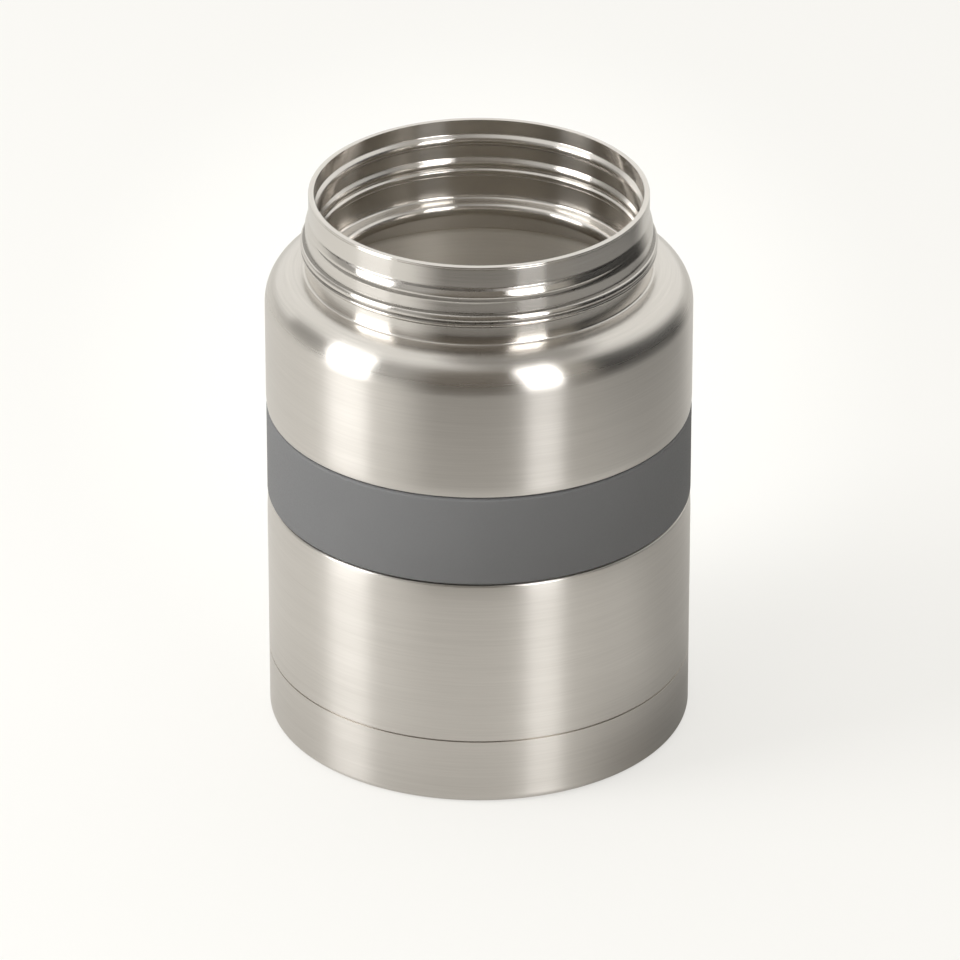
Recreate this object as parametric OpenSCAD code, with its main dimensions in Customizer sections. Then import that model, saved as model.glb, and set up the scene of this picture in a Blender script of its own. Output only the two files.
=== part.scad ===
// Vacuum food jar with its lid off: a double-walled steel jar with a screw neck and a grip band.
// The origin is the centre of the foot, +Z is up and the front faces -Y.

/* [Jar] */
// Outer diameter of the brushed wall
body_d = 95.2; // [90:0.1:104]
// Height from the floor to the lip
jar_h = 128.3; // [122:0.1:150]
// Thickness of the outer shell's sheet
shell_t = 0.5; // [0.4:0.05:0.6]
// Thickness of the inner vessel's sheet
liner_t = 0.5; // [0.4:0.05:0.6]

/* [Shoulder and outer neck] */
// Radius that rolls the wall over into the shoulder
shoulder_r = 8.2; // [5:0.1:8.4]
// Radius of the fold where the shoulder meets the neck
foot_fold_r = 0.6; // [0.3:0.1:0.8]
// Height of the neck, from the shoulder to the lip
neck_h = 18.4; // [17:0.1:21]
// How far the plain band under the lip is set in from the wall
neck_inset = 9.9; // [9.3:0.1:12]
// How far the neck steps out, in radius, under that band
neck_step = 0.8; // [0.4:0.1:1]
// Depth below the lip where the step begins
step_top = 5.1; // [4.6:0.1:5.5]
// Depth below the lip where the step ends
step_bottom = 8; // [7:0.1:8.5]
// Depth below the lip of the top of the full thread bead
ring_top = 10.6; // [9.5:0.1:11]
// Height of the full thread bead
ring_h = 3.3; // [2.6:0.1:4]
// How far the full thread bead stands out
ring_rise = 1.05; // [0.6:0.05:1.3]

/* [Thread lugs] */
// Number of thread lugs round the neck
lug_count = 2; // [1:1:2]
// Arc that one lug covers, in degrees
lug_span = 128; // [90:1:140]
// Azimuth of the first lug's middle, in degrees to the right of the front
lug_turn = -6; // [-90:1:90]
// Depth below the lip of the lugs' centre line
lug_drop = 7; // [6.7:0.1:7.3]
// Radius of a lug's rounded section
lug_r = 1.6; // [1.2:0.1:1.8]
// How far a lug stands out from the stepped neck at its middle
lug_rise = 0.65; // [0.4:0.05:0.9]

/* [Inner vessel] */
// Width of the lip, from the outer face of the neck to the mouth
lip_w = 1.2; // [1.1:0.05:1.6]
// Width of the vacuum space between the wall and the inner vessel
vacuum_w = 4; // [3.4:0.1:6]
// Height of the food space's floor above the table
floor_z = 10.6; // [10.4:0.1:14]
// Radius of the food space's bottom corner
floor_corner_r = 8; // [4:0.5:12]
// Height of the floor cup's welded edge above the floor
floor_cup_h = 10; // [9:0.5:16]
// How far the gasket ledge's rounded nose stands in from the mouth
ledge_w = 3.5; // [2.5:0.1:4.5]
// Depth below the lip of the gasket ledge's top
ledge_drop = 19.6; // [18.6:0.1:21]
// Height of the ledge's rounded nose
ledge_h = 2.4; // [2.1:0.1:4]
// Height of the slope under the ledge
throat_h = 8; // [6:0.1:10]
// How far the inner beads stand into the mouth
bead_rise = 0.95; // [0.6:0.05:1.1]
// Depth below the lip of the first inner bead's top
bead_a_top = 3.5; // [3.3:0.1:3.8]
// Height of the first inner bead
bead_a_h = 2.85; // [2.8:0.05:3.2]
// Depth below the lip of the double inner bead's top
bead_b_top = 9.2; // [8.8:0.1:9.6]
// Height of the double bead's upper round
bead_b_h = 2.6; // [2.5:0.1:3]
// Height of the double bead's lower round
bead_c_h = 1.8; // [1.4:0.1:2]

/* [Base] */
// Height of the seam between the wall and the base cap
seam_z = 15.8; // [14:0.1:20]
// Width of the open seam
seam_gap = 0.35; // [0.2:0.05:0.5]
// Thickness of the base cap's sheet
cap_t = 0.5; // [0.4:0.05:0.7]
// Radius of the base cap's bottom corner
cap_corner_r = 1.5; // [1:0.1:3]
// Width of the base cap's outer ring, which the jar stands on
foot_w = 11.5; // [8:0.5:18]
// How far the base cap's middle is pressed up off the table
foot_h = 1.5; // [0.8:0.1:2]
// Thickness of the glue film between the cap and the skirt
glue_t = 0.15; // [0.1:0.01:0.25]

/* [Grip band] */
// Height of the band's lower edge above the table
band_z = 55.2; // [40:0.1:65]
// Height of the band
band_h = 21.45; // [15:0.05:26]
// Thickness of the band
band_t = 1.5; // [1:0.1:2]
// Radius of the band's outer edges
band_edge_r = 0.8; // [0.2:0.1:0.9]
// Gap between each of the band's edges and the recess
band_gap = 0.25; // [0.1:0.05:0.4]

/* [Vacuum parts] */
// Height of the vacuum bottom above the table
vac_z = 5.5; // [4.5:0.1:5.6]
// Thickness of the vacuum bottom's sheet
vac_t = 0.5; // [0.4:0.05:0.6]
// Radius of the dimple with the evacuation hole
dimple_r = 7; // [5:0.5:9]
// Depth of the dimple
dimple_h = 1.4; // [1:0.1:1.8]
// Radius of the evacuation hole
hole_r = 1.2; // [0.8:0.1:1.6]
// Thickness of the radiation foil
foil_t = 0.1; // [0.06:0.01:0.15]
// Diameter of the getter pellet
getter_d = 8; // [6:0.5:10]
// Height of the getter pellet
getter_h = 1.8; // [1.2:0.1:2]

/* [Hidden] */

$fn = 120;
// Largest turn of one facet along a bend, in degrees
bend_step = 8;

body_r = body_d / 2;
neck_r = body_r - neck_inset;
waist_r = neck_r + neck_step;
mouth_r = neck_r - lip_w;
liner_r = body_r - shell_t - vacuum_w - liner_t;
ledge_r = mouth_r - ledge_w;
shoulder_z = jar_h - neck_h;

// Gaps that keep welded and wrapped pieces just clear of each other
weld_gap = 0.05;
foil_gap = 0.05;

// Clearance between the band and the recess floor, and how far the band lies below the wall
band_clear = 0.05;
band_sink = 0.05;
recess_r = body_r - band_sink - band_t - band_clear;
recess_edge_r = 0.5;
recess_fold_r = 0.3;

// The sloped flanks and the rounded corners of the full thread bead
ring_flank = 0.5;
ring_edge_r = 0.55;
ring_fold_r = 0.3;
step_bend_r = 2.5;

// The skirt under the seam, which the base cap is glued on
seam_edge_r = 0.3;
skirt_drop = 0.5;
skirt_r = body_r - cap_t - glue_t;
skirt_h = 7.8;
skirt_z = seam_z - skirt_h;
glue_h = 4.5;
glue_clear = 0.02;

// The inner vessel's folds
lip_fold_r = 0.4;
bead_flank = 0.9;
bead_edge_r = 1.1;
bead_fold_r = 0.3;
// The shorter flanks of the double bead's lower round
low_flank = 0.4;
// How far the valley between the double bead's rounds is set back from their crests
bead_valley = 0.45;
// How much the inner neck narrows in radius below each bead
neck_taper = 0.2;
ledge_fall = 0.4;
ledge_fold_r = 1;
ledge_nose_r = 1.5;
throat_bend_r = 3;
weld_z = floor_z + floor_cup_h;

// The vacuum bottom's rim and folds
vac_r = skirt_r - shell_t - weld_gap;
vac_rim_h = 6;
vac_corner_r = 2.5;
dimple_flank = 1.2;
dimple_fold_r = 0.8;
seal_margin = 1.6;
seal_t = 0.6;
seal_clear = 0.02;

// The base cap's foot
foot_flank = 1.5;
foot_edge_r = 0.9;

// The getter and its clip
getter_place = 22;
clip_t = 0.3;
clip_w = 4;
clip_lip = 1.2;
clip_clear = 0.05;

// Overrun of cuts past the surfaces that they open
over = 1;

function unit(v) = v / norm(v);
function left(v) = [-v.y, v.x];
function turn(a, b) = a.x * b.y - a.y * b.x;
function at(p) = [p.x, p.y];
// The unit direction of the stretch that starts at point i of a path
function heading(path, i) =
    let (j = max(0, min(i, len(path) - 2)))
    unit(at(path[j + 1]) - at(path[j]));

// A path is a list of [radius, height, bend radius]. This moves it sideways to the left by d and
// keeps its bends concentric, so that the stretch between the two paths is a sheet.
function moved(path, d) = [
    for (i = [0:len(path) - 1])
        let (a = heading(path, i - 1), b = heading(path, i), n = unit(left(a) + left(b)))
        let (s = turn(a, b) > 0 ? -1 : 1, reach = d / (n * left(a)))
        [path[i].x + n.x * reach, path[i].y + n.y * reach, max(0, path[i].z + s * d)]];

// The points along one bend of a path, from its start to its end
function bend(p, a, b) =
    let (angle = acos(max(-1, min(1, a * b))), side = turn(a, b) > 0 ? 1 : -1)
    let (start = at(p) - a * p.z * tan(angle / 2), centre = start + left(a) * p.z * side)
    let (from = start - centre, steps = max(1, ceil(angle / bend_step)))
    [for (k = [0:steps]) let (t = side * angle * k / steps)
        centre + [from.x * cos(t) - from.y * sin(t), from.x * sin(t) + from.y * cos(t)]];

// The points of a path with its bends rounded
function rounded(path) = [
    for (i = [0:len(path) - 1])
        let (a = heading(path, i - 1), b = heading(path, i))
        each (path[i].z > 0 && norm(a - b) > 0 ? bend(path[i], a, b) : [at(path[i])])];

function reversed(points) = [for (i = [len(points) - 1:-1:0]) points[i]];

// A sheet metal turned part: the path is one face and the sheet lies on its right for t above zero
module turned_sheet(path, t) {
    rotate_extrude()
        polygon(concat(rounded(path), reversed(rounded(moved(path, -t)))));
}

// The outer neck and wall, from the rim under the lip flange down to the skirt's edge
shell_face = [
    [neck_r, jar_h - liner_t, 0],
    [neck_r, jar_h - step_top, step_bend_r],
    [waist_r, jar_h - step_bottom, step_bend_r],
    [waist_r, jar_h - ring_top, ring_fold_r],
    [waist_r + ring_rise, jar_h - ring_top - ring_flank, ring_edge_r],
    [waist_r + ring_rise, jar_h - ring_top - ring_h + ring_flank, ring_edge_r],
    [waist_r, jar_h - ring_top - ring_h, ring_fold_r],
    [waist_r, shoulder_z, foot_fold_r],
    [body_r, shoulder_z, min(shoulder_r, body_r - waist_r - foot_fold_r)],
    [body_r, band_z + band_h + band_gap, recess_edge_r],
    [recess_r, band_z + band_h + band_gap, recess_fold_r],
    [recess_r, band_z - band_gap, recess_fold_r],
    [body_r, band_z - band_gap, recess_edge_r],
    [body_r, seam_z, seam_edge_r],
    [skirt_r, seam_z - skirt_drop, seam_edge_r],
    [skirt_r, skirt_z, 0]];

// The inner vessel's polished face, from the lip flange's edge down to the welded edge
liner_face = [
    [neck_r, jar_h, 0],
    [mouth_r, jar_h, lip_fold_r],
    [mouth_r, jar_h - bead_a_top, bead_fold_r],
    [mouth_r - bead_rise, jar_h - bead_a_top - bead_flank, bead_edge_r],
    [mouth_r - bead_rise, jar_h - bead_a_top - bead_a_h + bead_flank, bead_edge_r],
    [mouth_r - neck_taper, jar_h - bead_a_top - bead_a_h, bead_fold_r],
    [mouth_r - neck_taper, jar_h - bead_b_top, bead_fold_r],
    [mouth_r - bead_rise, jar_h - bead_b_top - bead_flank, bead_edge_r],
    [mouth_r - bead_rise, jar_h - bead_b_top - bead_b_h + bead_flank, bead_edge_r],
    [mouth_r - bead_rise + bead_valley, jar_h - bead_b_top - bead_b_h, 0],
    [mouth_r - bead_rise, jar_h - bead_b_top - bead_b_h - low_flank, bead_fold_r],
    [mouth_r - bead_rise, jar_h - bead_b_top - bead_b_h - bead_c_h + low_flank, bead_fold_r],
    [mouth_r - neck_taper * 2, jar_h - bead_b_top - bead_b_h - bead_c_h, bead_fold_r],
    [mouth_r - neck_taper * 2, jar_h - ledge_drop + ledge_fall, ledge_fold_r],
    [ledge_r, jar_h - ledge_drop, ledge_nose_r],
    [ledge_r, jar_h - ledge_drop - ledge_h, ledge_nose_r],
    [liner_r, jar_h - ledge_drop - ledge_h - throat_h, throat_bend_r],
    [liner_r, weld_z, 0]];

floor_face = [[liner_r, weld_z, 0], [liner_r, floor_z, floor_corner_r], [0, floor_z, 0]];

cap_face = [
    [body_r, seam_z - seam_gap, 0],
    [body_r, 0, cap_corner_r],
    [body_r - foot_w, 0, foot_edge_r],
    [body_r - foot_w - foot_flank, foot_h, foot_edge_r],
    [0, foot_h, 0]];

vacuum_face = [
    [vac_r, vac_z + vac_rim_h, 0],
    [vac_r, vac_z, vac_corner_r],
    [dimple_r, vac_z, dimple_fold_r],
    [dimple_r - dimple_flank, vac_z + dimple_h, dimple_fold_r],
    [hole_r, vac_z + dimple_h, 0]];

// The lugs' ring lies off the jar's axis, so each lug rises out of the neck and sinks back into it
lug_end_rise = -neck_step / 2;
lug_shift = (lug_rise - lug_end_rise) / (1 - cos(lug_span / 2));
lug_ring_r = waist_r + lug_rise - lug_r - lug_shift;
lug_run = 12;

module lug_rod(r) {
    translate([lug_shift, 0, jar_h - lug_drop])
        rotate([0, 0, -lug_span / 2 - lug_run])
            rotate_extrude(angle = lug_span + 2 * lug_run)
                translate([lug_ring_r, 0])
                    circle(r = r);
}

module lugs(r) {
    for (i = [0:lug_count - 1])
        rotate([0, 0, lug_turn - 90 + i * 360 / lug_count])
            lug_rod(r);
}

// The space inside the neck's sheet, over the height of the lugs
module neck_core() {
    inner = rounded(moved(shell_face, -shell_t));
    top = jar_h - liner_t;
    low = jar_h - ring_top;
    stretch = [for (p = inner) if (p.y >= low && p.y <= top) p];
    rotate_extrude()
        polygon(concat([[0, top + over], [stretch[0].x, top + over]], stretch,
                       [[stretch[len(stretch) - 1].x, low - over], [0, low - over]]));
}

module outer_shell() {
    color([0.72, 0.7, 0.67])
        difference() {
            union() {
                turned_sheet(shell_face, shell_t);
                difference() {
                    lugs(lug_r);
                    neck_core();
                }
            }
            lugs(lug_r - shell_t);
        }
}

module liner_wall() {
    color([0.78, 0.76, 0.73])
        turned_sheet(liner_face, -liner_t);
}

module liner_bottom() {
    color([0.75, 0.74, 0.72])
        turned_sheet(floor_face, -liner_t);
}

module foil_wrap() {
    foil_r = liner_r + liner_t + foil_gap;
    foil_z = weld_z;
    foil_top = jar_h - ledge_drop - ledge_h - throat_h - throat_bend_r / 2;
    color([0.8, 0.5, 0.36])
        translate([0, 0, foil_z])
            difference() {
                cylinder(r = foil_r + foil_t, h = foil_top - foil_z);
                translate([0, 0, -over])
                    cylinder(r = foil_r, h = foil_top - foil_z + 2 * over);
            }
}

module foil_disc() {
    color([0.8, 0.5, 0.36])
        translate([0, 0, floor_z - liner_t - foil_gap - foil_t])
            cylinder(r = liner_r - floor_corner_r, h = foil_t);
}

module getter_clip() {
    clip_len = getter_d + 2 * clip_clear + 2 * clip_t;
    color([0.66, 0.66, 0.68])
        translate([getter_place, 0, vac_z + vac_t]) {
            translate([-clip_len / 2, -clip_w / 2, 0])
                cube([clip_len, clip_w, clip_t]);
            for (side = [0, 1])
                mirror([side, 0, 0]) {
                    translate([clip_len / 2 - clip_t, -clip_w / 2, 0])
                        cube([clip_t, clip_w, getter_h + 2 * clip_t]);
                    translate([clip_len / 2 - clip_t - clip_lip, -clip_w / 2, getter_h + clip_t])
                        cube([clip_lip + clip_t, clip_w, clip_t]);
                }
        }
}

module getter_pellet() {
    color([0.35, 0.35, 0.36])
        translate([getter_place, 0, vac_z + vac_t + clip_t])
            cylinder(d = getter_d, h = getter_h);
}

module vacuum_bottom() {
    color([0.64, 0.64, 0.66])
        turned_sheet(vacuum_face, vac_t);
}

module seal_bead() {
    color([0.2, 0.22, 0.24])
        translate([0, 0, vac_z + dimple_h]) {
            cylinder(r = hole_r - seal_clear, h = vac_t);
            translate([0, 0, -seal_t])
                cylinder(r = dimple_r - dimple_flank - seal_margin, h = seal_t);
        }
}

module base_glue() {
    color([0.86, 0.84, 0.76])
        translate([0, 0, skirt_z])
            difference() {
                cylinder(r = skirt_r + glue_t - glue_clear, h = glue_h);
                translate([0, 0, -over])
                    cylinder(r = skirt_r + glue_clear, h = glue_h + 2 * over);
            }
}

module base_cap() {
    color([0.7, 0.68, 0.65])
        turned_sheet(cap_face, cap_t);
}

module grip_band() {
    inner = recess_r + band_clear;
    outer = inner + band_t;
    color([0.37, 0.37, 0.38])
        rotate_extrude()
            polygon(rounded([
                [inner, band_z + band_h, 0],
                [outer, band_z + band_h, band_edge_r],
                [outer, band_z, band_edge_r],
                [inner, band_z, 0]]));
}

outer_shell();
liner_wall();
liner_bottom();
foil_wrap();
foil_disc();
getter_clip();
getter_pellet();
vacuum_bottom();
seal_bead();
base_glue();
base_cap();
grip_band();
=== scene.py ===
"""Dresses a vacuum food jar, lid off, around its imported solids. Lengths are in metres.

The jar stands on the floor at the origin, +Z is up and the front faces -Y.
"""
from math import acos, atan, atan2, ceil, cos, hypot, pi, radians, sin, sqrt, tan

import bpy
from mathutils import Matrix, Vector


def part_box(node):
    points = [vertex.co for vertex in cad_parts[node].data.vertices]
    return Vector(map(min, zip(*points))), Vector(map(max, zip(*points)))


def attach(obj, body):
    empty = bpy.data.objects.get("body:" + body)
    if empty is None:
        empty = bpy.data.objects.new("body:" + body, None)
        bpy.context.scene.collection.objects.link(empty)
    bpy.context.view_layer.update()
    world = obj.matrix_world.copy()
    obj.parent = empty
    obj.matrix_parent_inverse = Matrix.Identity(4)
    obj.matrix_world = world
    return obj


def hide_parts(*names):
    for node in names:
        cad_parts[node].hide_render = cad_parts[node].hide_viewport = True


MM = 0.001
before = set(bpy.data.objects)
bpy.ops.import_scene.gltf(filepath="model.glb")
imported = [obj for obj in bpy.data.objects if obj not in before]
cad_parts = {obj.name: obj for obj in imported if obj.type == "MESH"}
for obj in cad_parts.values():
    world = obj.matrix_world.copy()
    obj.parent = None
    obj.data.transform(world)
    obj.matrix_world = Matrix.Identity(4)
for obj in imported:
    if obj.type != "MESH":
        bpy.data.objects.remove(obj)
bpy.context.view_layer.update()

# Sizes that the frame gives
shell_low, shell_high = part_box("outer_shell")
_, liner_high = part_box("liner_wall")
floor_low, floor_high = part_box("liner_bottom")
cap_low, cap_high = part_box("base_cap")
band_low, band_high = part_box("grip_band")
BODY_R = shell_high.x
JAR_H = liner_high.z
SKIRT_Z = shell_low.z
WELD_Z = floor_high.z
CAP_TOP = cap_high.z
BAND_Z = band_low.z
BAND_TOP = band_high.z
BAND_R = band_high.x

# The sheets and the outer shell
SHELL_T = 0.5 * MM
LINER_T = 0.5 * MM
CAP_T = 0.5 * MM
GLUE_T = 0.15 * MM
NECK_R = BODY_R - 9.9 * MM
WAIST_R = NECK_R + 0.8 * MM
SHOULDER_Z = JAR_H - 18.4 * MM
SHOULDER_R = 8.2 * MM
FOOT_FOLD_R = 0.6 * MM
STEP_TOP = JAR_H - 5.1 * MM
STEP_BOTTOM = JAR_H - 8 * MM
STEP_BEND_R = 2.5 * MM
RING_TOP = JAR_H - 10.6 * MM
RING_H = 3.3 * MM
RING_RISE = 1.05 * MM
RING_FLANK = 0.5 * MM
RING_EDGE_R = 0.55 * MM
RING_FOLD_R = 0.3 * MM

# The ring's outer face: a broad round over a narrow hem, with a fine groove between them
ROUND_Z = JAR_H - 11.95 * MM
ROUND_R = 1.2 * MM
ROUND_ABOVE = radians(75)
ROUND_BELOW = radians(40)
GROOVE_DROP = 0.85 * MM
GROOVE_DEPTH = 0.345 * MM
GROOVE_R = 0.08 * MM
HEM_DROP = 1.29 * MM
HEM_IN = 0.05 * MM
HEM_R = 0.45 * MM
HEM_ABOVE = radians(55)
HEM_BELOW = radians(60)
HEM_END = 2.13 * MM
# Heights between which the ring is painted dark, as painted shade: above the round, in the groove and under
# the hem
RING_SHADE_BANDS = (
    (ROUND_Z + 0.95 * MM, ROUND_Z + 1.35 * MM),
    (ROUND_Z - 1.02 * MM, ROUND_Z - 0.25 * MM),
    (ROUND_Z - 2.3 * MM, ROUND_Z - 1.75 * MM))

# The recess for the band, with a slight roll of the wall beside it
ROLL_ABOVE = 3 * MM
ROLL_BELOW = 6 * MM
SINK_ABOVE = 0.18 * MM
SINK_BELOW = 0.26 * MM
BAND_T = 1.5 * MM
BAND_GAP = 0.25 * MM
BAND_CLEAR = 0.05 * MM
BAND_EDGE_R = 0.8 * MM
RECESS_R = BAND_R - BAND_T - BAND_CLEAR
RECESS_EDGE_R = 0.5 * MM
RECESS_FOLD_R = 0.3 * MM

# The seam and the skirt that goes into the base cap
SEAM_GAP = 0.35 * MM
SEAM_Z = CAP_TOP + SEAM_GAP
SEAM_EDGE_R = 0.3 * MM
SKIRT_DROP = 0.5 * MM
SKIRT_R = BODY_R - CAP_T - GLUE_T

# The thread lugs
LUG_COUNT = 2
LUG_SPAN = radians(128)
LUG_TURN = radians(-6)
LUG_Z = JAR_H - 6.7 * MM
LUG_ABOVE = 1.7 * MM
LUG_BELOW = 3.5 * MM
LUG_ROUND = 0.15
LUG_R = 1.6 * MM
LUG_RISE = 0.34 * MM
LUG_END_RISE = (NECK_R - WAIST_R) / 2
LUG_SHIFT = (LUG_RISE - LUG_END_RISE) / (1 - cos(LUG_SPAN / 2))
LUG_RING_R = WAIST_R + LUG_RISE - LUG_R - LUG_SHIFT
LUG_BLEND = 0.15 * MM

# The fine crease over each lug, and the bands in it and under the lug's edge that are painted dark as
# painted shade
CREASE_Z = JAR_H - 5.3 * MM
CREASE_HALF = 0.3 * MM
CREASE_SHADE_HALF = 0.21 * MM
CREASE_DEPTH = 0.12 * MM
UNDERCUT_START = 0.35 * MM
UNDERCUT_END = 1.3 * MM
# How far a lug stands out where the painted shade in its crease and undercut begins
SHADE_RISE = 0.4 * MM

# The inner vessel
MOUTH_R = NECK_R - 1.2 * MM
LINER_R = BODY_R - SHELL_T - 4 * MM - LINER_T
LEDGE_R = MOUTH_R - 3.5 * MM
LIP_FOLD_R = 0.4 * MM
LIP_EDGE_R = 0.22 * MM
LIP_SEAM_R = 0.15 * MM
BEAD_RISE = 0.95 * MM
BEAD_FLANK = 0.9 * MM
LOW_FLANK = 0.4 * MM
BEAD_EDGE_R = 1.1 * MM
BEAD_FOLD_R = 0.3 * MM
BEAD_VALLEY = 0.45 * MM
BEAD_A_TOP = JAR_H - 3.5 * MM
BEAD_A_H = 2.85 * MM
BEAD_B_TOP = JAR_H - 9.2 * MM
BEAD_B_H = 2.6 * MM
BEAD_C_H = 1.8 * MM
NECK_TAPER = 0.2 * MM
LEDGE_Z = JAR_H - 19.6 * MM
LEDGE_H = 2.4 * MM
LEDGE_FALL = 0.4 * MM
LEDGE_FOLD_R = 1 * MM
LEDGE_NOSE_R = 1.5 * MM
THROAT_H = 8 * MM
THROAT_BEND_R = 3 * MM
THROAT_END = LEDGE_Z - LEDGE_H - THROAT_H
FLOOR_Z = floor_low.z + LINER_T
FLOOR_CORNER_R = 8 * MM

# The base cap
CAP_CORNER_R = 1.5 * MM
FOOT_R = BODY_R - 11.5 * MM
FOOT_FLANK = 1.5 * MM
FOOT_H = 1.5 * MM
FOOT_EDGE_R = 0.9 * MM

# Mesh fineness
SEGMENTS = 384
BEND_STEP = radians(5)
ARC_STEP = 0.5 * MM
LUG_STEP = 0.06 * MM
SUPPORT = 0.2 * MM
LONG_STRETCH = 6 * SUPPORT
SHARP_ANGLE = radians(40)
SMALL_TURN = 1e-6
ON_AXIS = 1e-7


# Paths and turned meshes

def heading(path, i):
    """Unit direction of the stretch that starts at point i of a path of (radius, height, bend radius)."""
    i = max(0, min(i, len(path) - 2))
    return (Vector(path[i + 1][:2]) - Vector(path[i][:2])).normalized()


def left(v):
    return Vector((-v.y, v.x))


def turn(a, b):
    return a.x * b.y - a.y * b.x


def moved(path, d):
    """The path moved to its left by d, with concentric bends."""
    result = []
    for i, (r, z, bend_r) in enumerate(path):
        a, b = heading(path, i - 1), heading(path, i)
        n = (left(a) + left(b)).normalized()
        p = Vector((r, z)) + n * (d / n.dot(left(a)))
        side = -1 if turn(a, b) > 0 else 1
        result.append((p.x, p.y, max(0, bend_r + side * d)))
    return result


def bend(p, a, b, radius):
    """Points round a corner at p, from direction a to direction b."""
    angle = acos(max(-1, min(1, a.dot(b))))
    side = 1 if turn(a, b) > 0 else -1
    start = p - a * radius * tan(angle / 2)
    centre = start + left(a) * radius * side
    steps = max(ceil(angle / BEND_STEP), ceil(angle * radius / ARC_STEP))
    turns = [side * angle * k / steps for k in range(steps + 1)]
    return [centre + Matrix.Rotation(t, 2) @ (start - centre) for t in turns]


def rounded(path):
    """The points of a path with its bends rounded."""
    points = []
    for i, (r, z, bend_r) in enumerate(path):
        a, b = heading(path, i - 1), heading(path, i)
        corner = Vector((r, z))
        points += bend(corner, a, b, bend_r) if bend_r > 0 and (a - b).length > SMALL_TURN else [corner]
    return points


def supported(points):
    """The points with one more near each end of a long stretch, so that its shading stays straight."""
    result = [points[0]]
    for a, b in zip(points, points[1:]):
        length = (b - a).length
        if length > LONG_STRETCH:
            result += [a.lerp(b, SUPPORT / length), b.lerp(a, SUPPORT / length)]
        result.append(b)
    return result


def refined(points, low, high, step):
    """The points with more of them between two heights."""
    result = [points[0]]
    for a, b in zip(points, points[1:]):
        inside = low < max(a.y, b.y) and min(a.y, b.y) < high
        count = ceil((b - a).length / step) if inside else 1
        result += [a.lerp(b, k / count) for k in range(1, count + 1)]
    return result


def sheet_outline(path, t):
    """Closed outline of a sheet that lies to the right of its path."""
    return supported(rounded(path)) + supported(rounded(moved(path, -t)))[::-1]


def lathe(name, outline, place=None, closed=True):
    """A mesh turned round the Z axis. place(radius, height, angle) may move a point in radius."""
    vertices, faces, rings = [], [], []
    for p in outline:
        if p.x < ON_AXIS:
            rings.append([len(vertices)] * SEGMENTS)
            vertices.append((0, 0, p.y))
            continue
        rings.append(range(len(vertices), len(vertices) + SEGMENTS))
        for k in range(SEGMENTS):
            angle = 2 * pi * k / SEGMENTS
            r = place(p.x, p.y, angle) if place else p.x
            vertices.append((r * cos(angle), r * sin(angle), p.y))
    pairs = list(zip(rings, rings[1:] + rings[:1]))
    for upper, lower in pairs if closed else pairs[:-1]:
        for k in range(SEGMENTS):
            n = (k + 1) % SEGMENTS
            corners = (upper[k], lower[k], lower[n], upper[n])
            face = tuple(dict.fromkeys(corners))
            if len(face) > 2:
                faces.append(face)
    mesh = bpy.data.meshes.new(name)
    mesh.from_pydata(vertices, [], faces)
    mesh.update()
    for polygon in mesh.polygons:
        polygon.use_smooth = True
    mesh.set_sharp_from_angle(angle=SHARP_ANGLE)
    piece = bpy.data.objects.new(name, mesh)
    bpy.context.scene.collection.objects.link(piece)
    return piece


# Node helpers

def new_material(name):
    material = bpy.data.materials.new(name)
    material.use_nodes = True
    nodes, links = material.node_tree.nodes, material.node_tree.links
    return material, nodes, links, nodes["Principled BSDF"]


def set_inputs(node, **values):
    for key, value in values.items():
        node.inputs[key.replace("_", " ")].default_value = value


def math_node(nodes, links, operation, a, b):
    """A Math node whose inputs are sockets or numbers."""
    node = nodes.new("ShaderNodeMath")
    node.operation = operation
    for socket, value in zip(node.inputs, (a, b)):
        if isinstance(value, (int, float)):
            socket.default_value = value
        else:
            links.new(value, socket)
    return node.outputs[0]


def map_range(nodes, links, value, low, high, to_low, to_high, smooth=False):
    node = nodes.new("ShaderNodeMapRange")
    if smooth:
        node.interpolation_type = "SMOOTHSTEP"
    links.new(value, node.inputs["Value"])
    set_inputs(node, From_Min=low, From_Max=high, To_Min=to_low, To_Max=to_high)
    return node.outputs["Result"]


def mix_colours(nodes, links, factor, a, b):
    """A colour mix whose factor is a socket and whose colours are sockets or values."""
    node = nodes.new("ShaderNodeMix")
    node.data_type = "RGBA"
    links.new(factor, node.inputs["Factor"])
    for socket, value in ((node.inputs[6], a), (node.inputs[7], b)):
        if isinstance(value, tuple):
            socket.default_value = value
        else:
            links.new(value, socket)
    return node.outputs[2]


def turned_streaks(nodes, links, along, across):
    """Noise drawn out round the Z axis, and the height. along and across are its scales per metre."""
    place = nodes.new("ShaderNodeTexCoord").outputs["Object"]
    parts = nodes.new("ShaderNodeSeparateXYZ")
    links.new(place, parts.inputs[0])
    x, y, z = parts.outputs
    x_squared = math_node(nodes, links, "MULTIPLY", x, x)
    y_squared = math_node(nodes, links, "MULTIPLY", y, y)
    squares = math_node(nodes, links, "ADD", x_squared, y_squared)
    radius = math_node(nodes, links, "SQRT", squares, 0.0)
    joined = nodes.new("ShaderNodeCombineXYZ")
    for value, scale, socket in zip((x, y, z), (along, along, across), joined.inputs):
        links.new(math_node(nodes, links, "MULTIPLY", value, scale), socket)
    noise = nodes.new("ShaderNodeTexNoise")
    noise.noise_dimensions = "4D"
    links.new(joined.outputs[0], noise.inputs["Vector"])
    links.new(math_node(nodes, links, "MULTIPLY", radius, across), noise.inputs["W"])
    set_inputs(noise, Scale=1.0, Detail=2.0, Roughness=0.5)
    return noise.outputs["Fac"], z


def object_noise(nodes, links, scale, detail, roughness):
    noise = nodes.new("ShaderNodeTexNoise")
    links.new(nodes.new("ShaderNodeTexCoord").outputs["Object"], noise.inputs["Vector"])
    set_inputs(noise, Scale=scale, Detail=detail, Roughness=roughness)
    return noise.outputs["Fac"]


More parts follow.
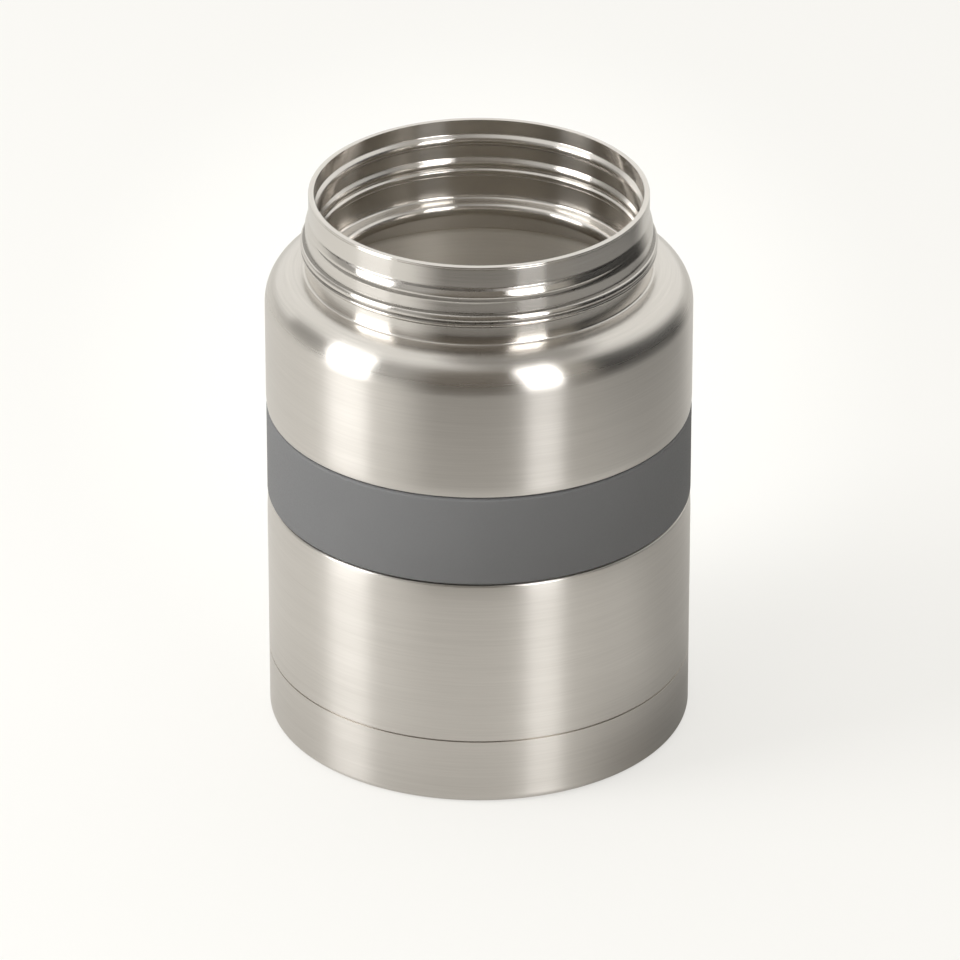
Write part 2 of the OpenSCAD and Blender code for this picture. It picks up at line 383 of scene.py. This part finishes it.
def add_bump(nodes, links, shader, height, distance):
    bump = nodes.new("ShaderNodeBump")
    links.new(height, bump.inputs["Height"])
    set_inputs(bump, Strength=1.0, Distance=distance)
    links.new(bump.outputs["Normal"], shader.inputs["Normal"])


# Materials

STEEL = (0.735, 0.705, 0.665, 1)
STEEL_DARK = (0.665, 0.636, 0.597, 1)
BRIGHT_STEEL = (0.77, 0.742, 0.705, 1)
BRIGHT_STEEL_DARK = (0.7, 0.67, 0.63, 1)
LINER_STEEL = (0.74, 0.695, 0.62, 1)
LINER_STEEL_DARK = (0.68, 0.635, 0.56, 1)
# Painted shade: a dark steel for the bands in the neck's folds
PAINTED_FOLD_SHADE = (0.32, 0.305, 0.285, 1)
PAINTED_FOLD_SHADE_DARK = (0.26, 0.245, 0.225, 1)
SILICONE = (0.132, 0.133, 0.135, 1)
SILICONE_DARK = (0.118, 0.119, 0.121, 1)

# Scales of the lathe's lines per metre, along them and across them
LINES_ALONG = 60
LINES_ACROSS = 2600
BROAD_LINES_ALONG = 25
BROAD_LINES_ACROSS = LINES_ACROSS / 6
BROAD_SHARE = 0.4
# Where a noise's middle range begins and ends
NOISE_LOW = 0.3
NOISE_HIGH = 0.7
# Turns the brushed direction from up the wall to round it
ROUND_THE_WALL = 0.25
# How far the roughness of a grained finish varies
GRAIN_SPREAD = 0.2


def turned_steel(name, colours, anisotropy, heights, roughness, spread, bump, satin=0.0):
    """Steel brushed or polished on a lathe.

    colours are its light and its dark shade. roughness holds its mean at each of the two heights, and
    spread is how far it varies about that. satin is the diffuse share.
    """
    material, nodes, links, shader = new_material(name)
    tangent = nodes.new("ShaderNodeTangent")
    tangent.direction_type = "RADIAL"
    tangent.axis = "Z"
    links.new(tangent.outputs[0], shader.inputs["Tangent"])
    set_inputs(shader, Metallic=1 - satin, Anisotropic=anisotropy, Anisotropic_Rotation=ROUND_THE_WALL)
    fine, height = turned_streaks(nodes, links, LINES_ALONG, LINES_ACROSS)
    broad, _ = turned_streaks(nodes, links, BROAD_LINES_ALONG, BROAD_LINES_ACROSS)
    fine_part = math_node(nodes, links, "MULTIPLY", fine, 1 - BROAD_SHARE)
    broad_part = math_node(nodes, links, "MULTIPLY", broad, BROAD_SHARE)
    blend = math_node(nodes, links, "ADD", fine_part, broad_part)
    mean = map_range(nodes, links, height, *heights, *roughness, smooth=True)
    change = map_range(nodes, links, blend, NOISE_LOW, NOISE_HIGH, 1 - spread, 1 + spread)
    links.new(math_node(nodes, links, "MULTIPLY", mean, change), shader.inputs["Roughness"])
    light, dark = colours
    shade = map_range(nodes, links, blend, NOISE_LOW, NOISE_HIGH, 0, 1)
    links.new(mix_colours(nodes, links, shade, dark, light), shader.inputs["Base Color"])
    add_bump(nodes, links, shader, fine, bump)
    return material


def shell_material():
    """Brushed on the wall and finer on the shoulder."""
    return turned_steel(
        "shell_steel", (STEEL, STEEL_DARK), anisotropy=0.93,
        heights=(SHOULDER_Z - SHOULDER_R, SHOULDER_Z - 1 * MM), roughness=(0.3, 0.22),
        spread=0.05, bump=0.0003 * MM)


def neck_material():
    """Polished, above the shoulder."""
    return turned_steel(
        "neck_steel", (BRIGHT_STEEL, BRIGHT_STEEL_DARK), anisotropy=1.0,
        heights=(SHOULDER_Z, JAR_H), roughness=(0.18, 0.19), spread=0.1, bump=0.0004 * MM)


def cap_material():
    return turned_steel(
        "cap_steel", (STEEL, STEEL_DARK), anisotropy=0.93,
        heights=(0, CAP_TOP), roughness=(0.3, 0.3), spread=0.05, bump=0.0003 * MM)


def liner_material():
    """Satin, inside the food space."""
    return turned_steel(
        "liner_steel", (LINER_STEEL, LINER_STEEL_DARK), anisotropy=0.9,
        heights=(FLOOR_Z, THROAT_END), roughness=(0.42, 0.42), spread=0.12, bump=0.0006 * MM, satin=0.3)


def mouth_material():
    """Polished, from the lip down to the end of the throat."""
    return turned_steel(
        "mouth_steel", (BRIGHT_STEEL, BRIGHT_STEEL_DARK), anisotropy=1.0,
        heights=(THROAT_END, JAR_H), roughness=(0.18, 0.18), spread=0.1, bump=0.0004 * MM)


# Dark steel that paints shade into the neck's folds
def painted_shade_material():
    return grained(
        "painted_fold_shade_steel", PAINTED_FOLD_SHADE, PAINTED_FOLD_SHADE_DARK, roughness=0.3, scale=400, bump=0.0002 * MM)


def silicone_material():
    """Matt, with a fine grain and a faint cloud in its grey."""
    material, nodes, links, shader = new_material("grip_silicone")
    set_inputs(shader, Specular_IOR_Level=0.45)
    grain = object_noise(nodes, links, scale=2600, detail=3.0, roughness=0.6)
    cloud = object_noise(nodes, links, scale=60, detail=3.0, roughness=0.5)
    links.new(mix_colours(nodes, links, cloud, SILICONE_DARK, SILICONE), shader.inputs["Base Color"])
    matt = map_range(nodes, links, grain, NOISE_LOW, NOISE_HIGH, 0.55, 0.7)
    links.new(matt, shader.inputs["Roughness"])
    add_bump(nodes, links, shader, grain, 0.01 * MM)
    return material


def grained(name, light, dark, roughness, scale, bump, metallic=1.0):
    """Sheet, foil, pressed powder, glass or glue, with grain in its colour, roughness and surface."""
    material, nodes, links, shader = new_material(name)
    set_inputs(shader, Metallic=metallic)
    grain = object_noise(nodes, links, scale=scale, detail=4.0, roughness=0.55)
    links.new(mix_colours(nodes, links, grain, dark, light), shader.inputs["Base Color"])
    smoothest = roughness * (1 - GRAIN_SPREAD)
    roughest = roughness * (1 + GRAIN_SPREAD)
    varied = map_range(nodes, links, grain, NOISE_LOW, NOISE_HIGH, smoothest, roughest)
    links.new(varied, shader.inputs["Roughness"])
    add_bump(nodes, links, shader, grain, bump)
    return material


# Pieces

def lug_rise(angle):
    """How far the nearest thread lug's crest stands out from the neck at an angle."""
    crest = NECK_R
    for i in range(LUG_COUNT):
        phi = angle - (LUG_TURN - pi / 2 + i * 2 * pi / LUG_COUNT)
        side = LUG_SHIFT * sin(phi)
        crest = max(crest, LUG_SHIFT * cos(phi) + sqrt(LUG_RING_R ** 2 - side ** 2) + LUG_R)
    return crest - NECK_R


def lug_profile(z):
    """Share of the crest's rise at a height.

    It has a sloping upper flank, a rounded edge and a gentler slope under that.
    """
    part = (z - LUG_Z) / (LUG_ABOVE if z > LUG_Z else LUG_BELOW)
    foot = sqrt(1 + LUG_ROUND ** 2)
    return max(0, (foot - sqrt(part ** 2 + LUG_ROUND ** 2)) / (foot - LUG_ROUND))


def smooth_max(a, b, blend):
    """The larger of two radii, with a fillet where they cross."""
    gap = max(0, blend - abs(a - b))
    return max(a, b) + gap * gap / (4 * blend)


def with_lugs(r, z, angle):
    """The outer face's radius with the lugs and the fine crease over each."""
    if r < NECK_R - SHELL_T / 2 or z < LUG_Z - LUG_BELOW:
        return r
    rise = lug_rise(angle)
    dip = max(0, 1 - ((z - CREASE_Z) / CREASE_HALF) ** 2)
    r -= min(CREASE_DEPTH, rise / 4) * dip
    lug = rise * lug_profile(z)
    return smooth_max(r, NECK_R + lug, min(LUG_BLEND, lug)) if lug > 0 else r


def roll_bend(height, sink):
    """Bend radius that spreads a slight roll of the wall over a height."""
    return (height / 2 - RECESS_EDGE_R) / tan(atan(2 * sink / height) / 2)


def round_bend(crest, z, radius, above, below):
    """A corner whose bend is a bead's round, between the slopes of its two flanks."""
    reach = radius / cos((above + below) / 2)
    middle = (above - below) / 2
    return crest - radius + reach * cos(middle), z + reach * sin(middle), radius


def plain_ring():
    """The ring as the sheet's inner face follows it."""
    crest = WAIST_R + RING_RISE
    return [
        (WAIST_R, RING_TOP, RING_FOLD_R),
        (crest, RING_TOP - RING_FLANK, RING_EDGE_R),
        (crest, RING_TOP - RING_H + RING_FLANK, RING_EDGE_R),
        (WAIST_R, RING_TOP - RING_H, RING_FOLD_R)]


def hemmed_ring():
    """The ring's outer face: a broad round over a narrow one, with a fine groove between them."""
    crest = WAIST_R + RING_RISE
    return [
        (WAIST_R, ROUND_Z + ROUND_R, RING_FOLD_R / 2),
        round_bend(crest, ROUND_Z, ROUND_R, ROUND_ABOVE, ROUND_BELOW),
        (crest - GROOVE_DEPTH, ROUND_Z - GROOVE_DROP, GROOVE_R),
        round_bend(crest - HEM_IN, ROUND_Z - HEM_DROP, HEM_R, HEM_ABOVE, HEM_BELOW),
        (WAIST_R, ROUND_Z - HEM_END, RING_FOLD_R)]


def shell_face():
    """The shell's outer face above the ring, and the same from there down to the skirt's edge."""
    recess_top = BAND_TOP + BAND_GAP
    recess_low = BAND_Z - BAND_GAP
    neck = [
        (NECK_R, JAR_H - LINER_T, 0),
        (NECK_R, STEP_TOP, STEP_BEND_R),
        (WAIST_R, STEP_BOTTOM, STEP_BEND_R)]
    body = [
        (WAIST_R, SHOULDER_Z, FOOT_FOLD_R),
        (BODY_R, SHOULDER_Z, SHOULDER_R),
        (BODY_R, recess_top + ROLL_ABOVE / 2, roll_bend(ROLL_ABOVE, SINK_ABOVE)),
        (BODY_R - SINK_ABOVE, recess_top, RECESS_EDGE_R),
        (RECESS_R, recess_top, RECESS_FOLD_R),
        (RECESS_R, recess_low, RECESS_FOLD_R),
        (BODY_R - SINK_BELOW, recess_low, RECESS_EDGE_R),
        (BODY_R, recess_low - ROLL_BELOW / 2, roll_bend(ROLL_BELOW, SINK_BELOW)),
        (BODY_R, SEAM_Z, SEAM_EDGE_R),
        (SKIRT_R, SEAM_Z - SKIRT_DROP, SEAM_EDGE_R),
        (SKIRT_R, SKIRT_Z, 0)]
    return neck, body


def outer_shell():
    neck, body = shell_face()
    rim = [
        (NECK_R - 2 * LIP_SEAM_R, JAR_H - LINER_T, 0),
        (NECK_R, JAR_H - LINER_T, LIP_SEAM_R)]
    outer = supported(rounded(rim + neck[1:] + hemmed_ring() + body))
    outer = refined(outer, LUG_Z - LUG_BELOW / 2, CREASE_Z + 1.2 * CREASE_HALF, LUG_STEP)
    inner = supported(rounded(moved(neck + plain_ring() + body, -SHELL_T)))[::-1]
    return lathe("jar_shell", outer + inner, with_lugs)


def finish_above(piece, height, material):
    """The faces above a height take another finish."""
    index = len(piece.data.materials)
    piece.data.materials.append(material)
    for polygon in piece.data.polygons:
        if polygon.center.z > height:
            polygon.material_index = index


def in_painted_shade(z, angle):
    """Whether a place on the neck lies in a band beside the ring or a lug that is painted dark as painted
    shade.
    """
    if any(low < z < high for low, high in RING_SHADE_BANDS):
        return True
    share = min(1, (lug_rise(angle) - SHADE_RISE) / SHADE_RISE)
    crease = abs(z - CREASE_Z) < CREASE_SHADE_HALF * share
    depth = (UNDERCUT_END - UNDERCUT_START) * share
    undercut = 0 < LUG_Z - UNDERCUT_START - z < depth
    return crease or undercut


def paint_fold_shade(shell, material):
    """The bands in the folds beside the ring and the lugs take a dark finish, as painted shade."""
    index = len(shell.data.materials)
    shell.data.materials.append(material)
    for polygon in shell.data.polygons:
        x, y, z = polygon.center
        if hypot(x, y) > NECK_R - SHELL_T / 2 and in_painted_shade(z, atan2(y, x)):
            polygon.material_index = index


def liner_wall():
    crest = MOUTH_R - BEAD_RISE
    valley_z = BEAD_B_TOP - BEAD_B_H
    face = [
        (NECK_R, JAR_H, LIP_EDGE_R),
        (MOUTH_R, JAR_H, LIP_FOLD_R),
        (MOUTH_R, BEAD_A_TOP, BEAD_FOLD_R),
        (crest, BEAD_A_TOP - BEAD_FLANK, BEAD_EDGE_R),
        (crest, BEAD_A_TOP - BEAD_A_H + BEAD_FLANK, BEAD_EDGE_R),
        (MOUTH_R - NECK_TAPER, BEAD_A_TOP - BEAD_A_H, BEAD_FOLD_R),
        (MOUTH_R - NECK_TAPER, BEAD_B_TOP, BEAD_FOLD_R),
        (crest, BEAD_B_TOP - BEAD_FLANK, BEAD_EDGE_R),
        (crest, valley_z + BEAD_FLANK, BEAD_EDGE_R),
        (crest + BEAD_VALLEY, valley_z, 0),
        (crest, valley_z - LOW_FLANK, BEAD_FOLD_R),
        (crest, valley_z - BEAD_C_H + LOW_FLANK, BEAD_FOLD_R),
        (MOUTH_R - 2 * NECK_TAPER, valley_z - BEAD_C_H, BEAD_FOLD_R),
        (MOUTH_R - 2 * NECK_TAPER, LEDGE_Z + LEDGE_FALL, LEDGE_FOLD_R),
        (LEDGE_R, LEDGE_Z, LEDGE_NOSE_R),
        (LEDGE_R, LEDGE_Z - LEDGE_H, LEDGE_NOSE_R),
        (LINER_R, THROAT_END, THROAT_BEND_R),
        (LINER_R, WELD_Z, 0)]
    inner = supported(rounded(face[1:]))
    outer = supported(rounded(moved(face, LINER_T)[1:]))[::-1]
    outwards, upwards, inwards = Vector((1, 0)), Vector((0, 1)), Vector((-1, 0))
    seam = bend(Vector((NECK_R, JAR_H - LINER_T)), outwards, upwards, LIP_SEAM_R)
    lip = bend(Vector((NECK_R, JAR_H)), upwards, inwards, LIP_EDGE_R)
    return lathe("jar_liner", seam + lip + inner + outer)


def liner_bottom():
    face = [(LINER_R, WELD_Z, 0), (LINER_R, FLOOR_Z, FLOOR_CORNER_R), (0, FLOOR_Z, 0)]
    return lathe("jar_liner_floor", sheet_outline(face, -LINER_T))


def base_cap():
    face = [
        (BODY_R, CAP_TOP, 0),
        (BODY_R, cap_low.z, CAP_CORNER_R),
        (FOOT_R, cap_low.z, FOOT_EDGE_R),
        (FOOT_R - FOOT_FLANK, cap_low.z + FOOT_H, FOOT_EDGE_R),
        (0, cap_low.z + FOOT_H, 0)]
    return lathe("jar_base_cap", sheet_outline(face, CAP_T))


def grip_band():
    inner = BAND_R - BAND_T
    face = [
        (inner, BAND_TOP, 0),
        (BAND_R, BAND_TOP, BAND_EDGE_R),
        (BAND_R, BAND_Z, BAND_EDGE_R),
        (inner, BAND_Z, 0)]
    return lathe("jar_grip_band", supported(rounded(face)))


def dress(piece, node, material):
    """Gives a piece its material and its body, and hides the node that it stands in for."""
    piece.data.materials.append(material)
    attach(piece, "root")
    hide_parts(node)


def build_jar():
    liner_steel = liner_material()
    shell = outer_shell()
    dress(shell, "outer_shell", shell_material())
    finish_above(shell, SHOULDER_Z + FOOT_FOLD_R / 2, neck_material())
    # The neck's folds get painted shade
    paint_fold_shade(shell, painted_shade_material())
    liner = liner_wall()
    dress(liner, "liner_wall", liner_steel)
    finish_above(liner, THROAT_END, mouth_material())
    dress(liner_bottom(), "liner_bottom", liner_steel)
    dress(base_cap(), "base_cap", cap_material())
    dress(grip_band(), "grip_band", silicone_material())


def finish_inner_nodes():
    """The solids inside the walls and the base stay as they are and take a finish each."""
    copper = grained(
        "copper_foil", (0.9, 0.52, 0.36, 1), (0.74, 0.4, 0.26, 1),
        roughness=0.25, scale=300, bump=0.02 * MM)
    mill = grained(
        "mill_steel", (0.58, 0.58, 0.59, 1), (0.48, 0.48, 0.49, 1),
        roughness=0.35, scale=500, bump=0.01 * MM)
    powder = grained(
        "getter_powder", (0.24, 0.24, 0.25, 1), (0.14, 0.14, 0.15, 1),
        roughness=0.7, scale=2500, bump=0.03 * MM, metallic=0.6)
    glass = grained(
        "solder_glass", (0.14, 0.16, 0.18, 1), (0.08, 0.1, 0.12, 1),
        roughness=0.12, scale=400, bump=0.01 * MM, metallic=0.0)
    glue = grained(
        "cured_glue", (0.85, 0.83, 0.75, 1), (0.76, 0.73, 0.63, 1),
        roughness=0.4, scale=700, bump=0.02 * MM, metallic=0.0)
    finishes = {
        "foil_wrap": copper,
        "foil_disc": copper,
        "getter_clip": mill,
        "vacuum_bottom": mill,
        "getter_pellet": powder,
        "seal_bead": glass,
        "base_glue": glue}
    for node, material in finishes.items():
        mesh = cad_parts[node].data
        mesh.materials.clear()
        mesh.materials.append(material)


# Studio

# Colours and places in the studio. Azimuths run to the right of the front.
PALE = (0.991, 0.982, 0.95, 1)

CAMERA_TILT = radians(28.18)
CAMERA_DISTANCE = 1.7857
CAMERA_AIM = Vector((0.22 * MM, 0, 56.1 * MM))
SENSOR = 36
LENS = 297.9
NEAR_CLIP = 0.05

# The pale sheet behind the jar sweeps up and over it
SWEEP_TILT = radians(57)
SWEEP_EDGE = 0.46
SWEEP_FADE = 0.06

# The room is grey on the left, and unlit in front and on the right
SHADE_LEFT = (0.42, 0.41, 0.39, 1)
SHADE_FRONT = (0.175, 0.155, 0.13, 1)
SHADE_RIGHT = (0.03, 0.029, 0.028, 1)
DARK_AZIMUTH = radians(49)
DARK_HALF = radians(83)
DARK_FADE = radians(15)
RIGHT_AZIMUTH = radians(101)
RIGHT_HALF = radians(38)
RIGHT_FADE = radians(12)

# A grey patch of ceiling, some light spilt on the unlit side, and a grey strip left of the key lamp
CEILING = (0.33, 0.32, 0.3, 1)
CEILING_AZIMUTH = radians(80)
CEILING_ELEVATION = radians(77)
CEILING_HALF = radians(22)
CEILING_FADE = radians(6)
SPILL = (0.42, 0.4, 0.36, 1)
SPILL_AZIMUTH = radians(50)
SPILL_HALF = radians(9)
SPILL_FADE = radians(9)
STRIP = (0.34, 0.33, 0.31, 1)
STRIP_AZIMUTH = radians(-107)
STRIP_ELEVATION = radians(20)
STRIP_HALF = radians(14)
STRIP_FADE = radians(4)

# The floor, and the share of its light that doesn't depend on the lamps
FLOOR_SIZE = 6
FLOOR_DROP = 0.05 * MM
FLOOR_PAINT = (0.86, 0.852, 0.825, 1)
FLOOR_GLOW = 0.64
FLOOR_GLOW_MIRRORED = 0.65
FLOOR_MIRRORED = (0.72, 0.705, 0.67, 1)

# A painted shadow of the jar on the table behind it and to its right, seen only where its wall mirrors the
# table
SHADOW_AZIMUTH = radians(120)
SHADOW_HALF = radians(31)
SHADOW_FADE = radians(25)
SHADOW_NEAR = 0.06
SHADOW_FAR = 0.2
SHADOW_DEEP = 0.5
SHADOW_SLIGHT = 0.15

# The darker part of that painted shadow, close to the foot
CONTACT_AZIMUTH = radians(80)
CONTACT_HALF = radians(32)
CONTACT_FADE = radians(30)
CONTACT_NEAR = 0.06
CONTACT_FAR = 0.084
CONTACT_DEEP = 0.72
CONTACT_SLIGHT = 0.15

# The pale table ends in front of the jar and to its right, where it is a little wider; past it, mirrored
# rays see the floor painted in the unlit shade
TABLE_NEAR = 0.21
TABLE_FAR = 0.245
TABLE_SQUEEZE = 0.87
TABLE_SHADE = (0.07, 0.062, 0.052, 1)
TABLE_SHADE_RIGHT = (0.025, 0.024, 0.022, 1)

# The narrow lamp that lights the food space
WELL_POWER = 330
WELL_CONE = radians(2.8)
WELL_BLEND = 0.6
WELL_SOFTNESS = 0.08
WELL_DISTANCE = 1.4
WELL_ELEVATION = radians(38)
WELL_AIM = Vector((0, 0, JAR_H - 10 * MM))


def towards(azimuth, elevation, distance=1):
    """A point seen from the jar at an azimuth to the right of the front."""
    x = sin(azimuth) * cos(elevation)
    y = -cos(azimuth) * cos(elevation)
    return Vector((x, y, sin(elevation))) * distance


def face_to(obj, target):
    obj.rotation_euler = (target - obj.location).to_track_quat("-Z", "Y").to_euler()


def add_camera():
    data = bpy.data.cameras.new("camera")
    data.sensor_width = SENSOR
    data.lens = LENS
    data.clip_start = NEAR_CLIP
    camera = bpy.data.objects.new("camera", data)
    camera.location = CAMERA_AIM + towards(0, CAMERA_TILT, CAMERA_DISTANCE)
    camera.rotation_euler = (pi / 2 - CAMERA_TILT, 0, 0)
    bpy.context.scene.collection.objects.link(camera)
    bpy.context.scene.camera = camera


def softbox(name, azimuth, elevation, distance, width, height, radiance,
            lean=0, mirrored=True, diffuse=True):
    """A rectangular lamp that faces the jar, leaning to the left. Its angles are in degrees.

    radiance is how bright its face looks.
    """
    data = bpy.data.lights.new(name, "AREA")
    data.shape = "RECTANGLE"
    data.size = width
    data.size_y = height
    data.energy = radiance * pi * width * height
    lamp = bpy.data.objects.new(name, data)
    lamp.location = towards(radians(azimuth), radians(elevation), distance)
    face_to(lamp, Vector((0, 0, JAR_H / 2)))
    lamp.rotation_euler.rotate_axis("Z", radians(lean))
    lamp.visible_glossy = mirrored
    lamp.visible_diffuse = diffuse
    bpy.context.scene.collection.objects.link(lamp)


def add_well_light():
    """A narrow lamp from the front that lights the back of the food space through the mouth."""
    data = bpy.data.lights.new("well_light", "SPOT")
    data.energy = WELL_POWER
    data.spot_size = WELL_CONE
    data.spot_blend = WELL_BLEND
    data.shadow_soft_size = WELL_SOFTNESS
    lamp = bpy.data.objects.new("well_light", data)
    lamp.location = towards(0, WELL_ELEVATION, WELL_DISTANCE)
    face_to(lamp, WELL_AIM)
    lamp.visible_glossy = False
    bpy.context.scene.collection.objects.link(lamp)


def ray_kinds(nodes, links):
    """Whether a ray comes from the camera, and whether it comes from a reflection or glass."""
    rays = nodes.new("ShaderNodeLightPath").outputs
    mirrored = math_node(nodes, links, "MAXIMUM", rays["Is Glossy Ray"], rays["Is Transmission Ray"])
    return rays["Is Camera Ray"], mirrored


def vector_math(nodes, links, operation, a, b=None):
    """A Vector Math node. b is a constant vector."""
    node = nodes.new("ShaderNodeVectorMath")
    node.operation = operation
    links.new(a, node.inputs[0])
    if b is not None:
        node.inputs[1].default_value = b
    return node.outputs["Value" if operation in ("DOT_PRODUCT", "LENGTH") else "Vector"]


def patch(nodes, links, direction, azimuth, half, fade, elevation=0):
    """How far a direction lies inside a round patch about an azimuth and elevation."""
    facing = vector_math(nodes, links, "DOT_PRODUCT", direction, towards(azimuth, elevation))
    return map_range(nodes, links, facing, cos(half + fade), cos(half - fade), 0, 1, smooth=True)


def level_part(nodes, links, direction):
    """The level part of a direction, and the same at unit length."""
    level = vector_math(nodes, links, "MULTIPLY", direction, (1, 1, 0))
    return level, vector_math(nodes, links, "NORMALIZE", level)


def unlit_side(nodes, links, unit, front, right):
    """How far a level direction points to the studio's unlit side, and the shade there."""
    side = patch(nodes, links, unit, DARK_AZIMUTH, DARK_HALF, DARK_FADE)
    turned = patch(nodes, links, unit, RIGHT_AZIMUTH, RIGHT_HALF, RIGHT_FADE)
    return side, mix_colours(nodes, links, turned, front, right)


def add_world():
    """The camera sees a plain pale background, and the metal mirrors the studio."""
    world = bpy.data.worlds.new("studio")
    bpy.context.scene.world = world
    world.use_nodes = True
    nodes, links = world.node_tree.nodes, world.node_tree.links
    camera, _ = ray_kinds(nodes, links)
    direction = nodes.new("ShaderNodeTexCoord").outputs["Generated"]
    _, unit = level_part(nodes, links, direction)
    side, shade = unlit_side(nodes, links, unit, SHADE_FRONT, SHADE_RIGHT)
    spill = patch(nodes, links, unit, SPILL_AZIMUTH, SPILL_HALF, SPILL_FADE)
    shade = mix_colours(nodes, links, spill, shade, SPILL)
    low = mix_colours(nodes, links, side, SHADE_LEFT, shade)
    above = vector_math(nodes, links, "DOT_PRODUCT", direction, towards(pi, SWEEP_TILT))
    sweep_start = SWEEP_EDGE - SWEEP_FADE
    sweep_end = SWEEP_EDGE + SWEEP_FADE
    sweep = map_range(nodes, links, above, sweep_start, sweep_end, 0, 1, smooth=True)
    studio = mix_colours(nodes, links, sweep, low, PALE)
    ceiling = patch(nodes, links, direction, CEILING_AZIMUTH, CEILING_HALF, CEILING_FADE, CEILING_ELEVATION)
    studio = mix_colours(nodes, links, ceiling, studio, CEILING)
    strip = patch(nodes, links, direction, STRIP_AZIMUTH, STRIP_HALF, STRIP_FADE, STRIP_ELEVATION)
    studio = mix_colours(nodes, links, strip, studio, STRIP)
    links.new(mix_colours(nodes, links, camera, studio, PALE), nodes["Background"].inputs["Color"])


def table_shades(nodes, links):
    """How dark the table is painted at a place when metal mirrors it, as painted shadow and painted shade,
    and the dark's colour there.
    """
    level, unit = level_part(nodes, links, nodes.new("ShaderNodeTexCoord").outputs["Object"])
    side, colour = unlit_side(nodes, links, unit, TABLE_SHADE, TABLE_SHADE_RIGHT)
    squeezed = vector_math(nodes, links, "MULTIPLY", level, (TABLE_SQUEEZE, 1, 1))
    reach = vector_math(nodes, links, "LENGTH", squeezed)
    past = map_range(nodes, links, reach, TABLE_NEAR, TABLE_FAR, 0, 1)
    away = math_node(nodes, links, "MULTIPLY", side, past)

    distance = vector_math(nodes, links, "LENGTH", level)
    behind = patch(nodes, links, unit, SHADOW_AZIMUTH, SHADOW_HALF, SHADOW_FADE)
    broad = map_range(nodes, links, distance, SHADOW_NEAR, SHADOW_FAR, SHADOW_DEEP, SHADOW_SLIGHT)
    shadow = math_node(nodes, links, "MULTIPLY", behind, broad)
    beside = patch(nodes, links, unit, CONTACT_AZIMUTH, CONTACT_HALF, CONTACT_FADE)
    depth = map_range(nodes, links, beside, 0, 1, CONTACT_SLIGHT, CONTACT_DEEP)
    close = map_range(nodes, links, distance, CONTACT_NEAR, CONTACT_FAR, 1, 0)
    contact = math_node(nodes, links, "MULTIPLY", depth, close)

    shadows = math_node(nodes, links, "MAXIMUM", shadow, contact)
    return math_node(nodes, links, "MAXIMUM", away, shadows), colour


def mix_shaders(nodes, links, factor, a, b):
    mix = nodes.new("ShaderNodeMixShader")
    links.new(factor, mix.inputs[0])
    links.new(a.outputs[0], mix.inputs[1])
    links.new(b.outputs[0], mix.inputs[2])
    return mix


def floor_material():
    """Pale paint with an even glow, for the camera and for the metal that mirrors it; for the metal,
    painted shadow and painted shade darken it.
    """
    material, nodes, links, paint = new_material("pale_floor")
    set_inputs(paint, Base_Color=FLOOR_PAINT, Roughness=0.9, Specular_IOR_Level=0.1)
    camera, mirrored = ray_kinds(nodes, links)
    glow = nodes.new("ShaderNodeEmission")
    links.new(mix_colours(nodes, links, mirrored, PALE, FLOOR_MIRRORED), glow.inputs["Color"])
    glow_seen = math_node(nodes, links, "MULTIPLY", camera, FLOOR_GLOW)
    glow_mirrored = math_node(nodes, links, "MULTIPLY", mirrored, FLOOR_GLOW_MIRRORED)
    share = math_node(nodes, links, "ADD", glow_seen, glow_mirrored)
    pale = mix_shaders(nodes, links, share, paint, glow)
    darkness, colour = table_shades(nodes, links)
    shade = nodes.new("ShaderNodeEmission")
    links.new(colour, shade.inputs["Color"])
    dark = math_node(nodes, links, "MULTIPLY", darkness, mirrored)
    surface = mix_shaders(nodes, links, dark, pale, shade)
    links.new(surface.outputs[0], nodes["Material Output"].inputs["Surface"])
    return material


def add_floor():
    mesh = bpy.data.meshes.new("floor")
    sides = ((-1, -1), (1, -1), (1, 1), (-1, 1))
    corners = [(x * FLOOR_SIZE, y * FLOOR_SIZE, -FLOOR_DROP) for x, y in sides]
    mesh.from_pydata(corners, [], [(0, 1, 2, 3)])
    mesh.materials.append(floor_material())
    floor = bpy.data.objects.new("floor", mesh)
    bpy.context.scene.collection.objects.link(floor)


def add_lights():
    softbox("key_softbox", azimuth=-72, elevation=22, distance=1.0,
            width=0.42, height=0.86, radiance=4.5, lean=10)
    softbox("left_fill", azimuth=-80, elevation=30, distance=1.2,
            width=0.8, height=0.8, radiance=2.6, mirrored=False)
    softbox("side_softbox", azimuth=33.2, elevation=24, distance=1.1,
            width=0.35, height=1.27, radiance=4.1, diffuse=False)
    softbox("top_softbox", azimuth=0, elevation=84, distance=1.4,
            width=1.3, height=1.1, radiance=0.84, mirrored=False)


add_camera()
build_jar()
finish_inner_nodes()
add_world()
add_floor()
add_lights()
add_well_light()

scene = bpy.context.scene
scene.view_settings.view_transform = "Standard"
